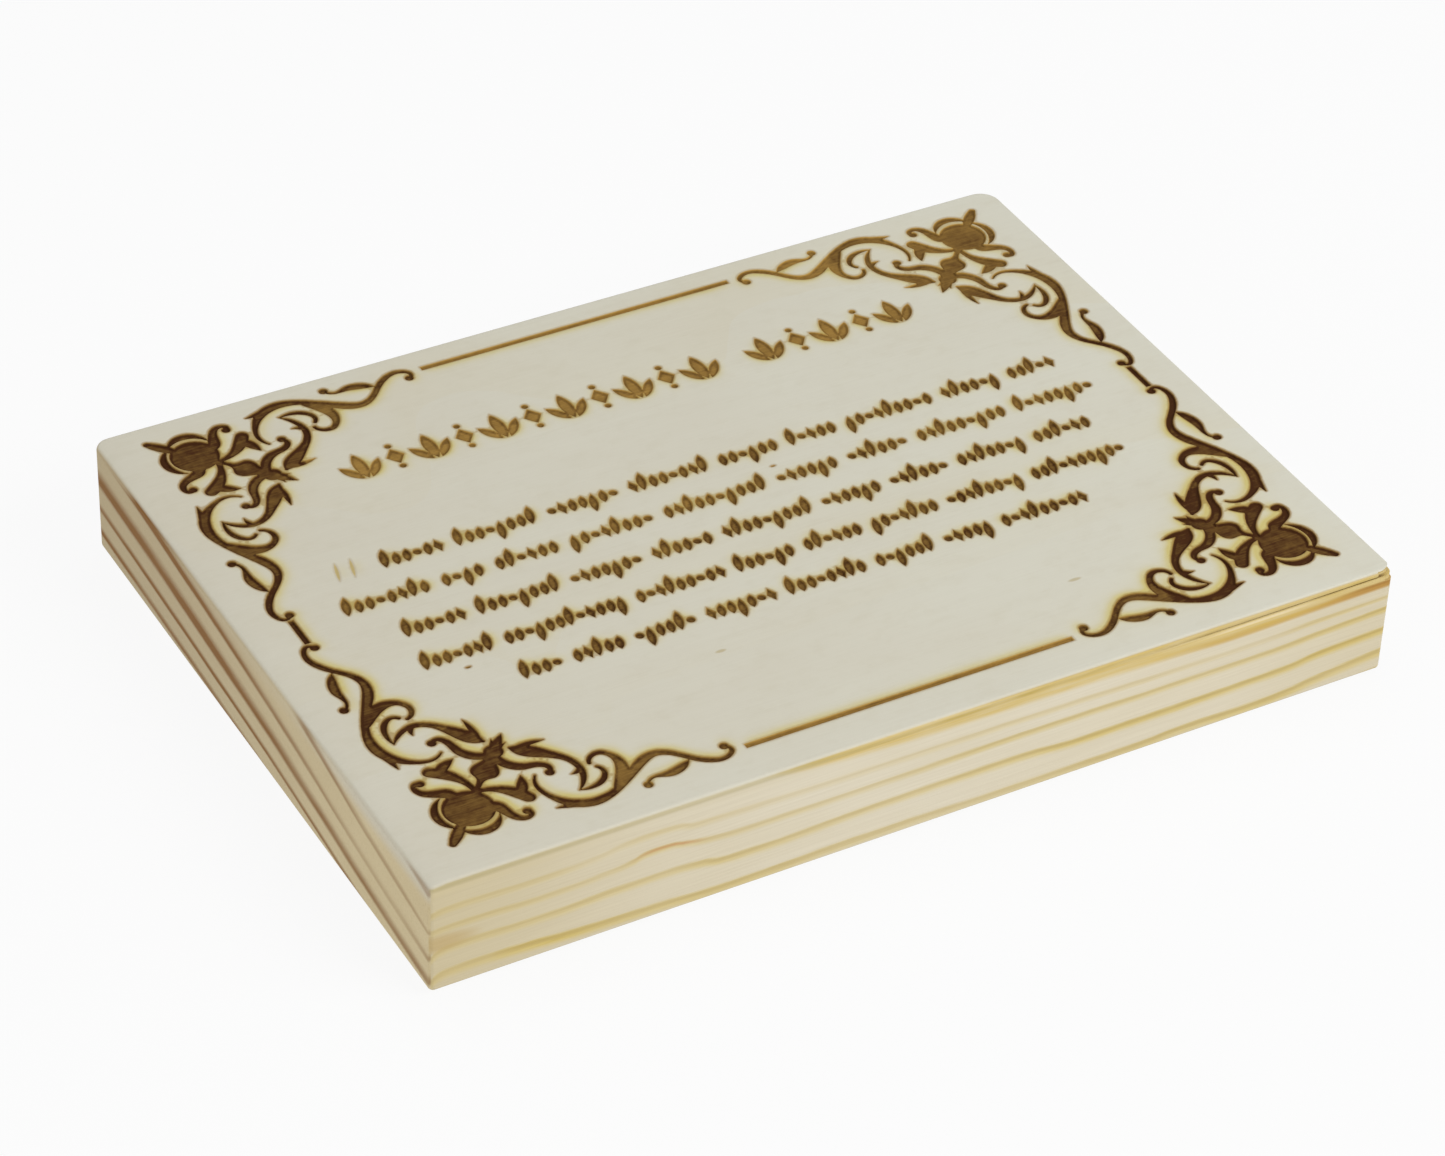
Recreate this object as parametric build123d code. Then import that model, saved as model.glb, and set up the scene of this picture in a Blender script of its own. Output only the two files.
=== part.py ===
from build123d import *
from math import cos, hypot, radians, sin
import os

# Wooden plaque: one solid pine board whose face is engraved by burning, hung from a keyhole
# plate let flush into its back, with a felt pad at each back corner.
#
# The plaque lies on its back. +X runs along the long side, +Y towards the design's top edge and
# +Z out of the engraved face. The origin is on the surface under the pads, below the centre.

# ---- Driving dimensions, in millimetres ----

board_length = 180.0
board_width = 130.0
board_thickness = 21.6
arris_radius = 0.7
crisp_radius = 0.9              # the two near corners were hardly sanded
corner_radii = {                # by the side that the corner is on, in X and in Y
    (-1, -1): crisp_radius,
    (1, -1): crisp_radius,
    (1, 1): 3.8,
    (-1, 1): 2.0,
}

pad_height = 1.0
pad_radius = 6.0
pad_inset = 13.0                # pad centre from the two board edges beside it
pad_edge_radius = 0.25

burn_depth = 0.5
heading_depth = 0.4
faint_depth = 0.15

split_start_x = 36.0            # the hairline split along the near long side
split_length = 51.0
split_below_face = 1.2
split_gap = 0.24                # its height at its open end
split_waver = 0.06              # how far its lips leave a straight line
split_depth = 0.6
# the layers worn round at the right corner: radius, depth under the face, step at the near side
worn_layers = [(3.2, split_below_face, 0.3), (1.7, 2.2, 0.15)]

plate_length = 40.0
plate_width = 16.0
plate_thickness = 1.5
plate_centre_y = 40.0
plate_clearance = 0.1
keyhole_entry_radius = 4.75
keyhole_entry_y = -5.0          # from the plate's centre; the slot rises from it towards +Y
keyhole_slot_width = 5.0
keyhole_slot_top_y = 5.0
head_pocket_width = 11.0
head_pocket_top_y = 4.0
head_pocket_depth = 7.0

screw_spacing = 31.0
screw_length = 12.0
screw_head_radius = 3.0
screw_neck_radius = 1.5
screw_core_radius = 1.1
screw_thread_pitch = 1.25
screw_tip_length = 2.0
screw_recess_arm = 3.4
screw_recess_width = 0.7
screw_recess_depth = 1.0
pilot_clearance = 0.05

design_centre = (0.5, 1.25)
bud_offset = (76.7, 52.0)       # bud of each corner ornament, from the design's centre
bud_radius = 4.35
petal_ridge = 0.34              # the strip of bare wood between the bud and its petals
petal_fullness = 1.5
line_weight = 1.07              # scales the width of every drawn line
ball_radius = 0.85              # the ball that ends a curl
side_stretch = 1.1              # the ornament is drawn a tenth longer up the short sides
border_width = 1.15
border_reach = (30.8, 3.4)      # half-lengths of the long and the short border lines
border_offset = (81.4, 58.2)    # the short and the long border lines, from the design's centre

row_height = 3.5
tall_height = 5.1
mark_width = 1.62
mark_slant = 14.0
heading_height = 7.4
heading_leaf_width = 2.5
heading_side_lean = 34.0        # of a sprig's two side leaves
heading_side_share = 0.76       # their size, as a share of the middle leaf's
jewel_length = 4.6
jewel_width = 3.5
jewel_bead_radius = 0.65

back_z = pad_height
face_z = pad_height + board_thickness
recess_z = back_z + plate_thickness
split_z = face_z - split_below_face
tool_overrun = 1.0              # how far a cutting prism stands out of the face it cuts


# ---- Flat shapes that the engraving is made of ----

def stroke(points):
    """A flowing tapered line through (x, y, width) points, with round or pointed ends."""
    left = []
    right = []
    for i, (x, y, width) in enumerate(points):
        before = points[max(i - 1, 0)]
        after = points[min(i + 1, len(points) - 1)]
        run = hypot(after[0] - before[0], after[1] - before[1])
        across = (-(after[1] - before[1]) / run, (after[0] - before[0]) / run)
        left.append((x + across[0] * width / 2, y + across[1] * width / 2))
        right.append((x - across[0] * width / 2, y - across[1] * width / 2))
    end_cap = cap(left[-1], right[-1])
    start_cap = cap(right[0], left[0])
    return filled([Spline(*left), end_cap, Spline(*reversed(right)), start_cap])


def filled(edges):
    """The flat face inside a loop of edges, facing up."""
    face = Face(Wire(edges))
    return face if face.normal_at().Z > 0 else -face


def cap(first, second):
    """The half circle from first to second that bulges to the left of the way between them."""
    middle = ((first[0] + second[0]) / 2, (first[1] + second[1]) / 2)
    reach = ((second[0] - first[0]) / 2, (second[1] - first[1]) / 2)
    return ThreePointArc(first, (middle[0] - reach[1], middle[1] + reach[0]), second)


def bead(x, y, radius):
    """A round dot."""
    return Pos(x, y) * Circle(radius)


def leaf(x, y, length, width, lean):
    """A pointed leaf standing on (x, y), tilted lean degrees clockwise from +Y."""
    half = length / 2
    body = filled([
        ThreePointArc((0, 0), (width / 2, half), (0, length)),
        ThreePointArc((0, length), (-width / 2, half), (0, 0)),
    ])
    return Pos(x, y) * Rot(0, 0, -lean) * body


def lozenge(x, y, length, width):
    """A diamond standing on (x, y)."""
    corners = ((x, y), (x + width / 2, y + length / 2), (x, y + length), (x - width / 2, y + length / 2))
    return filled(Polyline(*corners, close=True).edges())


# ---- The corner ornament, drawn around its bud: u runs along a side and v inwards from it ----

def branch(place):
    """One of the two mirrored branches; place turns an ornament (u, v) into board x and y."""
    def line(*points):
        return stroke([(*place(u, v), line_weight * width) for u, v, width in points])

    def ball(u, v):
        return bead(*place(u, v), ball_radius)

    return [
        # hook beside the bud
        line((3.4, -0.6, 1.9), (4.9, -2.9, 1.9), (5.8, -4.8, 1.4), (7.1, -5.5, 1.1), (8.2, -5.1, 0.9),
             (8.3, -4.4, 0.8)),
        ball(7.9, -4.2),
        # boot-shaped leaf: its toe, then its pointed cuff
        line((3.2, 2.8, 1.1), (6.0, 2.0, 1.5), (8.1, 0.4, 2.3), (9.6, -1.6, 2.3)),
        line((8.7, -0.6, 1.6), (9.9, 1.0, 1.9), (10.8, 3.1, 0.3)),
        # short S curl from the knot
        line((9.4, 9.0, 1.6), (10.3, 6.1, 1.8), (12.4, 4.7, 1.6), (14.6, 4.2, 1.3), (15.8, 3.0, 1.1),
             (15.7, 2.3, 0.9)),
        ball(15.3, 1.9),
        # leafy stem that closes the scroll, its side tip, its tooth and its thin curl
        line((12.4, 9.4, 0.7), (14.2, 7.9, 2.7), (17.1, 5.7, 1.9), (19.3, 3.5, 1.3),
             (20.1, 0.9, 1.2), (19.1, -1.9, 0.9), (17.4, -3.6, 0.2)),
        line((13.2, 8.9, 1.2), (15.6, 9.1, 1.1), (18.1, 8.8, 0.2)),
        line((19.8, 0.5, 1.3), (19.0, 0.2, 0.8), (18.1, 0.1, 0.2)),
        line((17.5, -3.5, 0.3), (19.8, -3.7, 0.9), (22.0, -2.9, 1.1), (23.1, -1.3, 0.9), (22.6, 0.0, 0.8)),
        # open scroll and the stem that runs on to the border line
        line((12.8, 2.2, 0.5), (11.9, -0.3, 0.8), (12.8, -3.0, 1.1), (15.0, -5.5, 1.8),
             (18.5, -6.7, 1.9), (22.0, -6.1, 1.4), (26.0, -4.0, 1.5), (29.4, -1.8, 1.9),
             (32.4, -1.1, 1.5), (35.0, -2.4, 1.2), (37.0, -4.4, 1.2), (39.4, -6.1, 1.2),
             (42.0, -6.5, 1.0), (43.6, -5.4, 0.9), (43.3, -4.3, 0.8)),
        ball(42.9, -4.2),
        # spur outside the scroll
        line((16.6, -6.2, 1.8), (14.2, -5.8, 1.2), (12.2, -5.6, 0.2)),
        # hooked leaf on the stem
        line((22.4, -5.6, 0.3), (24.6, -4.1, 2.2), (26.2, -1.3, 2.1), (26.0, 1.2, 1.3),
             (24.3, 2.7, 1.1), (22.6, 2.3, 0.9), (21.9, 1.2, 0.8)),
        # side leaf on its stalk
        line((36.3, -4.6, 0.3), (34.0, -5.7, 1.7), (31.5, -6.0, 1.4), (29.5, -5.7, 0.7), (28.1, -6.3, 0.7)),
        ball(27.7, -6.9),
        # small tip beside the knot's point
        line((9.6, 10.2, 1.4), (10.3, 11.2, 0.9), (10.7, 12.3, 0.2)),
        petal(place),
    ]


def petal(place):
    """The crescent petal outside the bud, a thin ridge of bare wood away from it."""
    inner_radius = bud_radius + petal_ridge
    outer_radius = inner_radius + petal_fullness

    def at(angle, radius):
        return place(radius * cos(radians(angle)), radius * sin(radians(angle)))

    start = at(-139, inner_radius)
    end = at(-34, inner_radius)
    inner = ThreePointArc(start, at(-86.5, inner_radius), end)
    outer = ThreePointArc(end, at(-86.5, outer_radius), start)
    return filled([inner, outer])


def corner_ornament():
    """The ornament of the far right corner, around the design's centre."""
    def along_base(u, v):
        return (bud_offset[0] - u, bud_offset[1] - side_stretch * v)

    def along_side(u, v):
        return (bud_offset[0] - v, bud_offset[1] - side_stretch * u)

    def diagonal(*points):
        return stroke([(*along_base(u, u), line_weight * width) for u, width in points])

    knot_at = 9.7
    knot_radius = 1.7
    shared = [
        # bud and its outer tip
        bead(*along_base(0, 0), bud_radius),
        diagonal((-2.6, 1.4), (-4.6, 2.0), (-6.0, 1.3)),
        # stalk with a leaf on it, from the bud to the knot
        diagonal((2.2, 1.6), (3.9, 1.0), (4.9, 1.6), (5.6, 3.9), (6.7, 4.3), (8.0, 2.2), (9.2, 2.2)),
        # knot and its inner point
        bead(*along_base(knot_at, knot_at), knot_radius),
        diagonal((knot_at, 2.2), (11.2, 1.7), (12.7, 0.2)),
    ]
    return shared + branch(along_base) + branch(along_side)


def four_corners(shapes):
    """The shapes of one corner fused, then mirrored to all four around the design's centre."""
    drawn = Sketch() + shapes
    pair = [drawn, mirror(drawn, about=Plane.YZ)]
    return pair + [mirror(half, about=Plane.XZ) for half in pair]


def border_lines():
    long_reach, short_reach = border_reach
    line_x, line_y = border_offset
    lines = []
    for side in (-1, 1):
        lines.append(Pos(0, side * line_y) * Rectangle(2 * long_reach, border_width))
        lines.append(Pos(side * line_x, 0) * Rectangle(border_width, 2 * short_reach))
    return lines


# ---- Rows of plain leaf marks: no letters, only leaves, beads and lozenges ----

def mark(kind, x, baseline):
    if kind == "s":
        return leaf(x - 0.4, baseline, row_height, mark_width, mark_slant)
    if kind == "t":
        return leaf(x - 0.6, baseline, tall_height, mark_width + 0.1, mark_slant)
    if kind == "d":
        return leaf(x - 0.9, baseline - 1.7, tall_height, mark_width, mark_slant)
    if kind == "z":
        return lozenge(x, baseline, row_height, mark_width + 0.2)
    return bead(x, baseline + row_height / 2, mark_width / 2)


mark_cycle = "tssosztssodsstozssdsoz"

# each row: its baseline, its width, and the number of marks in each of its groups
mark_rows = [
    (10.4, 132.0, (6, 8, 7, 8, 6, 5, 9, 6, 5), 4.5),
    (1.4, 145.5, (8, 4, 6, 8, 10, 6, 6, 9, 8), 0.0),
    (-7.9, 132.7, (6, 8, 7, 6, 9, 6, 6, 7, 6), 0.0),
    (-17.0, 134.9, (7, 12, 9, 6, 6, 7, 8, 10), 0.0),
    (-26.2, 108.3, (4, 5, 6, 7, 8, 6, 5, 9), 0.0),
]


def marks_of_row(baseline, width, groups, shift):
    """A centred row of marks in groups, one empty place between the groups."""
    places = sum(groups) + len(groups) - 1
    pitch = width / places
    x = design_centre[0] + shift - width / 2 + pitch / 2
    drawn = []
    for group in groups:
        for _ in range(group):
            kind = mark_cycle[len(drawn) % len(mark_cycle)]
            drawn.append(mark(kind, x, baseline))
            x += pitch
        x += pitch
    return drawn


heading_baseline = 34.4
heading_width = 112.0
heading_groups = (11, 5)        # the number of marks in each of the heading's two groups


def sprig(x, baseline):
    """Three leaves fanned from one foot: a tall one and a shorter one leaning out on each side."""
    side_length = heading_side_share * heading_height
    side_width = heading_side_share * heading_leaf_width
    fan = [leaf(x, baseline, heading_height, heading_leaf_width, 0)]
    for side in (-1, 1):
        foot_x = x + side * heading_leaf_width / 4
        fan.append(leaf(foot_x, baseline, side_length, side_width, side * heading_side_lean))
    return fan


def jewel(x, baseline):
    """A lozenge with a bead under it and over it."""
    middle = baseline + heading_height / 2
    bead_reach = heading_height / 2 - jewel_bead_radius
    beads = [bead(x, middle + side * bead_reach, jewel_bead_radius) for side in (-1, 1)]
    return [lozenge(x, middle - jewel_length / 2, jewel_length, jewel_width)] + beads


def heading_marks():
    places = sum(heading_groups) + len(heading_groups) - 1
    pitch = heading_width / places
    x = design_centre[0] - heading_width / 2 + pitch / 2
    drawn = []
    for group in heading_groups:
        for i in range(group):
            if i % 2 == 0:
                drawn.append(Sketch() + sprig(x, heading_baseline))
            else:
                drawn += jewel(x, heading_baseline)
            x += pitch
        x += pitch
    return drawn


def faint_marks():
    """Two hair-thin leaves, barely scorched, in front of the first row."""
    return [leaf(x, 10.4, tall_height, 0.6, mark_slant) for x in (-69.2, -66.4)]


def nicks():
    """Two stray specks of burn."""
    return [Pos(10.8, 6.7) * Ellipse(0.45, 0.2), Pos(-60.5, -19.3) * Ellipse(0.5, 0.22)]


# ---- Solids ----

def engraving_tools(shapes, depth):
    """One prism per shape, from the pocket's floor to clear of the face."""
    floor = Pos(0, 0, face_z - depth)
    return [floor * extrude(shape, depth + tool_overrun, dir=(0, 0, 1)) for shape in shapes]


def board_blank():
    outline = Rectangle(board_length, board_width)
    for (side_x, side_y), radius in corner_radii.items():
        place = (side_x * board_length / 2, side_y * board_width / 2, 0)
        outline = fillet(outline.vertices().sort_by_distance(place)[:1], radius)
    blank = Pos(0, 0, back_z) * extrude(outline, board_thickness)
    rims = blank.faces().sort_by(Axis.Z)
    return fillet(rims[0].edges() + rims[-1].edges(), arris_radius)


def grain_split():
    """A hairline split along the grain, under the near top edge, that opens towards the right corner."""
    near_y = -board_width / 2
    end_x = split_start_x + split_length
    bend_x = split_start_x + 0.4 * split_length
    lips = Polyline((split_start_x, split_z), (bend_x, split_z + split_waver), (end_x, split_z + split_gap),
                    (end_x, split_z), (bend_x, split_z - split_waver), close=True)
    slit = extrude(Plane.XZ * filled(lips.edges()), split_depth + tool_overrun, dir=(0, 1, 0))
    return Pos(0, near_y - tool_overrun, 0) * slit


def worn_corner(radius, depth, step):
    """The right corner worn round over a thin layer under the face, down to a ledge."""
    corner_x = board_length / 2
    near_y = -board_width / 2
    clear_x = corner_x + tool_overrun
    clear_y = near_y - tool_overrun
    start = (corner_x - radius, near_y + step)
    inset = radius * (1 - cos(radians(45)))
    end = (corner_x - step / 3, near_y + radius)
    curve = ThreePointArc(start, (corner_x - inset, near_y + inset), end)
    clear = Polyline(end, (clear_x, end[1]), (clear_x, clear_y), (start[0], clear_y), start)
    outline = filled([curve] + clear.edges())
    return Pos(0, 0, face_z - depth) * extrude(outline, depth + tool_overrun, dir=(0, 0, 1))


def plate_outline(extra=0.0):
    return Pos(0, plate_centre_y) * Rot(0, 0, 90) * SlotOverall(plate_length + extra, plate_width + extra)


def upright_slot(bottom_y, top_y, width):
    """A round-ended slot along Y, given its end centres from the plate's centre."""
    slot = SlotCenterToCenter(top_y - bottom_y, width)
    return Pos(0, plate_centre_y + (bottom_y + top_y) / 2) * Rot(0, 0, 90) * slot


def screw_places():
    return [("lower", plate_centre_y - screw_spacing / 2), ("upper", plate_centre_y + screw_spacing / 2)]


def plaque_board():
    """The pine board: engraved face, and the plate's recess, head pocket and pilots in its back."""
    board = board_blank()
    ornament = [Pos(*design_centre) * shape for shape in four_corners(corner_ornament()) + border_lines()]
    rows = [shape for row in mark_rows for shape in marks_of_row(*row)]
    tools = engraving_tools(ornament + rows + nicks(), burn_depth)
    tools += engraving_tools(heading_marks(), heading_depth)
    tools += engraving_tools(faint_marks(), faint_depth)
    tools += [grain_split()] + [worn_corner(*layer) for layer in worn_layers]
    tools.append(Pos(0, 0, back_z) * extrude(plate_outline(2 * plate_clearance), plate_thickness))
    head_pocket = upright_slot(keyhole_entry_y, head_pocket_top_y, head_pocket_width)
    tools.append(Pos(0, 0, recess_z) * extrude(head_pocket, head_pocket_depth))
    pilot_radius = screw_neck_radius + pilot_clearance
    for _, y in screw_places():
        pilot_depth = screw_length - plate_thickness + pilot_clearance
        pilot = Circle(pilot_radius)
        tools.append(Pos(0, y, recess_z) * extrude(pilot, pilot_depth))
    return board - tools


def keyhole_plate():
    """Flush steel hanger plate: round entry, narrow slot above it, two countersunk holes."""
    keyhole = Pos(0, plate_centre_y + keyhole_entry_y) * Circle(keyhole_entry_radius)
    keyhole += upright_slot(keyhole_entry_y, keyhole_slot_top_y, keyhole_slot_width)
    plate = Pos(0, 0, back_z) * extrude(plate_outline() - keyhole, plate_thickness)
    for _, y in screw_places():
        sink = Cone(screw_head_radius, screw_neck_radius, plate_thickness,
                    align=(Align.CENTER, Align.CENTER, Align.MIN))
        plate -= Pos(0, y, back_z) * sink
    return plate


def plate_screw(y):
    """Countersunk wood screw, head flush with the plate and its point in the board."""
    neck_z = plate_thickness
    tip_z = screw_length
    thread_end_z = tip_z - screw_tip_length
    profile = [(0, 0), (screw_head_radius, 0), (screw_neck_radius, neck_z)]
    z = neck_z + screw_thread_pitch
    while z + screw_thread_pitch < thread_end_z:
        profile += [(screw_core_radius, z), (screw_neck_radius, z + 0.35 * screw_thread_pitch)]
        z += screw_thread_pitch
    profile += [(screw_core_radius, thread_end_z), (0, tip_z)]
    screw = revolve(Plane.XZ * Face(Polyline(*profile, close=True)), Axis.Z)
    for turn in (0, 90):
        arm = Box(screw_recess_arm, screw_recess_width, screw_recess_depth,
                  align=(Align.CENTER, Align.CENTER, Align.MIN))
        screw -= Rot(0, 0, turn + 20) * arm
    return Pos(0, y, back_z) * screw


def felt_pad(x, y):
    disc = Cylinder(pad_radius, pad_height, align=(Align.CENTER, Align.CENTER, Align.MIN))
    disc = fillet(disc.edges().group_by(Axis.Z)[0], pad_edge_radius)
    return Pos(x, y, 0) * disc


def all_parts():
    parts = {"plaque_board": plaque_board(), "keyhole_plate": keyhole_plate()}
    for place, y in screw_places():
        parts[f"plate_screw_{place}"] = plate_screw(y)
    pad_x = board_length / 2 - pad_inset
    pad_y = board_width / 2 - pad_inset
    for row, y in (("bottom", -pad_y), ("top", pad_y)):
        for side, x in (("left", -pad_x), ("right", pad_x)):
            parts[f"felt_pad_{row}_{side}"] = felt_pad(x, y)
    return parts


os.makedirs("parts", exist_ok=True)
for name, solid in all_parts().items():
    export_step(solid, f"parts/{name}.step")
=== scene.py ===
import math

import bmesh
import bpy
import numpy as np
from mathutils import Matrix, Vector
from mathutils.geometry import delaunay_2d_cdt
from mathutils.kdtree import KDTree


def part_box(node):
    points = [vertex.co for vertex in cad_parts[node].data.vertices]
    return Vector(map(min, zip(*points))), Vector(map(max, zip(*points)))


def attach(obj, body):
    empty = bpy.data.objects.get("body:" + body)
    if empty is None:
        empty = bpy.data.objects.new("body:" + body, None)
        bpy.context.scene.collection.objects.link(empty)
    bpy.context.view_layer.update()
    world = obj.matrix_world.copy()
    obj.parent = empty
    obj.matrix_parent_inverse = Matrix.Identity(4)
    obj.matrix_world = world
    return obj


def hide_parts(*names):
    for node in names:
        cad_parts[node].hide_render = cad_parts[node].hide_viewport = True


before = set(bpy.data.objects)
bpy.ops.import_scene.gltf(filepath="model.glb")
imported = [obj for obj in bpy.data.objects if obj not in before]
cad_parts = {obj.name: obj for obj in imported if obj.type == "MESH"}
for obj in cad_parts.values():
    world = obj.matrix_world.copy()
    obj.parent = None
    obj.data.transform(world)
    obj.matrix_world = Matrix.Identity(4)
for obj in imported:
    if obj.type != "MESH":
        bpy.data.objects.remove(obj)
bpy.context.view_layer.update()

# Lengths are in millimetres until a mesh is made. The board, its grain and its burns share the row
# frame: +X along the long side, +Y towards the design's top edge, +Z out of the engraved face.

MM = 0.001
random = np.random.default_rng(20)

board_low, board_high = [np.array(corner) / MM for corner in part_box("plaque_board")]
face_z = board_high[2]
back_z = board_low[2]
near_y = board_low[1]
left_x = board_low[0]

# ---- The board's mesh ----

outline_tolerance = 0.012      # how far a burned outline may leave the CAD one
outline_step = 0.5
wall_run = 0.3                 # how far a burned wall leans in on its way down
rim_width = 0.18               # the rounded strip of face around a burn
rim_drop = 0.045
field_step = 1.15              # spacing of the face's points away from the burns
near_step = 0.62               # and close to them
near_reach = 2.0
burn_margin = 0.42             # the grids keep this far from the burns
edge_margin = 0.5              # and this far from the face's edge
row_spacing = 0.866            # of a grid's rows, for points in near equal triangles
jitter = 0.16                  # how far a grid's point may be out of place, as a share of its spacing
inner_runs = (wall_run, 0.22, 0.15, 0.09)    # how far inside a burn its row lies: the first with room
inner_gap = 0.13
outer_gap = 0.2
side_step = 3.0                # spacing of the cuts across the board's sides and back
faint_depth = 0.3              # burns shallower than this are the two faint marks
floor_ripple = 0.07
far_from_burns = 99.0          # what a point of the shell says of its distance to the burns
sharp_angle = math.radians(41)

# ---- where the engraving's parts lie on the face, and how dark each was burned ----

heading_y = 38.1
heading_reach = (60, 6)        # from its middle, along x and y
rows_span = (-31, 18)
rows_reach = 74
border_low = 50                # the two long border lines lie further out than this in y
border_reach = 31.5
foot_low = 48                  # the ornaments' light outer tendrils, beside the border lines
foot_reach = 52
ornament_tone = 0.86           # from 0 golden to 1 dark brown
rows_tone = 0.52
heading_tone = 0.38
border_tone = 0.27

smoke_cell = 0.5
smoke_spreads = (0.8, 2.6)     # of the near and the wide measure of smoke
smoke_margin = 10
smoke_drift = 1.012            # each place reads this much further out


def welded(node):
    """A CAD node's points and triangles, with the points that share a place made one."""
    mesh = node.data
    points = np.zeros(len(mesh.vertices) * 3)
    mesh.vertices.foreach_get("co", points)
    mesh.calc_loop_triangles()
    triangles = np.zeros(len(mesh.loop_triangles) * 3, int)
    mesh.loop_triangles.foreach_get("vertices", triangles)
    places, joined = np.unique(np.round(points.reshape(-1, 3) / MM, 4), axis=0, return_inverse=True)
    triangles = joined.ravel()[triangles].reshape(-1, 3)
    a, b, c = triangles.T
    return places, triangles[(a != b) & (b != c) & (c != a)]


def open_loops(triangles):
    """The directed loops of edges that only one triangle has."""
    half_edges = {(a, b) for t in triangles.tolist() for a, b in zip(t, t[1:] + t[:1])}
    following = {a: b for a, b in half_edges if (b, a) not in half_edges}
    loops = []
    while following:
        start, step = following.popitem()
        loop = [start]
        while step != start:
            loop.append(step)
            step = following.pop(step)
        loops.append(loop)
    return loops


def connected(count, triangles):
    """For each of count points, the lowest point that the triangles join it to."""
    label = np.arange(count)
    while True:
        lowest = label[triangles].min(1)
        reached = label.copy()
        for corner in range(3):
            np.minimum.at(reached, triangles[:, corner], lowest)
        reached = reached[reached]
        if (reached == label).all():
            return label
        label = reached


def thinned(points, tolerance):
    """The points of a closed outline that keep it within the tolerance."""
    far = int(np.argmax(np.hypot(*(points - points[0]).T)))
    keep = {0, far}
    spans = [(0, far), (far, len(points))]
    while spans:
        start, end = spans.pop()
        if end - start < 2:
            continue
        a, b = points[start], points[end % len(points)]
        along = (b - a) / max(np.hypot(*(b - a)), 1e-9)
        offset = points[start + 1:end] - a
        away = np.abs(offset[:, 0] * along[1] - offset[:, 1] * along[0])
        worst = int(np.argmax(away))
        if away[worst] > tolerance:
            middle = start + 1 + worst
            keep.add(middle)
            spans += [(start, middle), (middle, end)]
    return points[sorted(keep)]


def divided(points, step):
    """A closed outline with no stretch between its points longer than step."""
    made = []
    for a, b in zip(points, np.roll(points, -1, axis=0)):
        count = max(1, math.ceil(np.hypot(*(b - a)) / step))
        made += [a + (b - a) * i / count for i in range(count)]
    return np.array(made)


def towards_pocket(points):
    """The unit normals of an outline, on its right, which is the burned side."""
    ahead = np.roll(points, -1, axis=0) - points
    ahead /= np.hypot(*ahead.T)[:, None]
    both = ahead + np.roll(ahead, 1, axis=0)
    shortest = 0.2      # keeps the normal of a hairpin from running away
    both /= np.maximum(np.hypot(*both.T), shortest)[:, None]
    return np.stack([both[:, 1], -both[:, 0]], 1)


def spaced(points, gap):
    """The points in order, without those closer than gap to one already taken."""
    taken = {}
    kept = []
    for x, y in points.tolist():
        i, j = math.floor(x / gap), math.floor(y / gap)
        close = [p for k in (i - 1, i, i + 1) for m in (j - 1, j, j + 1) for p in taken.get((k, m), ())]
        if all((x - u) ** 2 + (y - v) ** 2 > gap * gap for u, v in close):
            taken.setdefault((i, j), []).append((x, y))
            kept.append((x, y))
    return np.array(kept).reshape(-1, 2)


def jittered_grid(low, high, step):
    """Staggered rows of points over a rectangle, each a little out of place."""
    rows = np.arange(low[1], high[1], step * row_spacing)
    columns = np.arange(low[0], high[0], step)
    x, y = np.meshgrid(columns, rows)
    x = x + (np.arange(len(rows)) % 2)[:, None] * step / 2
    points = np.stack([x.ravel(), y.ravel()], 1)
    return points + random.uniform(-jitter, jitter, points.shape) * step


class Outlines:
    """The burned outlines on the face, and how far any place is from them."""

    def __init__(self, loops, depths):
        self.loops = loops
        fine = [divided(loop, 0.1) for loop in loops]
        self.samples = np.concatenate(fine)
        self.sample_depth = np.concatenate([np.full(len(f), d) for f, d in zip(fine, depths)])
        self.tree = KDTree(len(self.samples))
        for i, (x, y) in enumerate(self.samples.tolist()):
            self.tree.insert((x, y, 0), i)
        self.tree.balance()

    def nearest(self, points):
        """The distance to the nearest outline, and that burn's depth, for each point."""
        found = [self.tree.find((x, y, 0)) for x, y in points.tolist()]
        return np.array([f[2] for f in found]), self.sample_depth[[f[1] for f in found]]


def split_cad_board():
    """The board's shell without its burned face, and the outlines of the burns in that face."""
    points, triangles = welded(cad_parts["plaque_board"])
    on_face = (np.abs(points[triangles][:, :, 2] - face_z) < 1e-3).all(1)
    rest = triangles[~on_face]
    label = connected(len(points), rest)
    depth_of = {}
    for group, z in zip(label[rest].min(1).tolist(), points[rest][:, :, 2].min(1).tolist()):
        depth_of[group] = max(depth_of.get(group, 0.0), face_z - z)
    loops = open_loops(triangles[on_face])
    edge_loop = max(loops, key=lambda loop: np.ptp(points[loop][:, 0]))
    shell_label = label[edge_loop[0]]
    burns = [loop for loop in loops if loop is not edge_loop]
    outlines = [divided(thinned(points[loop][:, :2], outline_tolerance), outline_step) for loop in burns]
    depths = [depth_of[label[loop[0]]] for loop in burns]
    return points, rest[label[rest[:, 0]] == shell_label], Outlines(outlines, depths)


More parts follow.
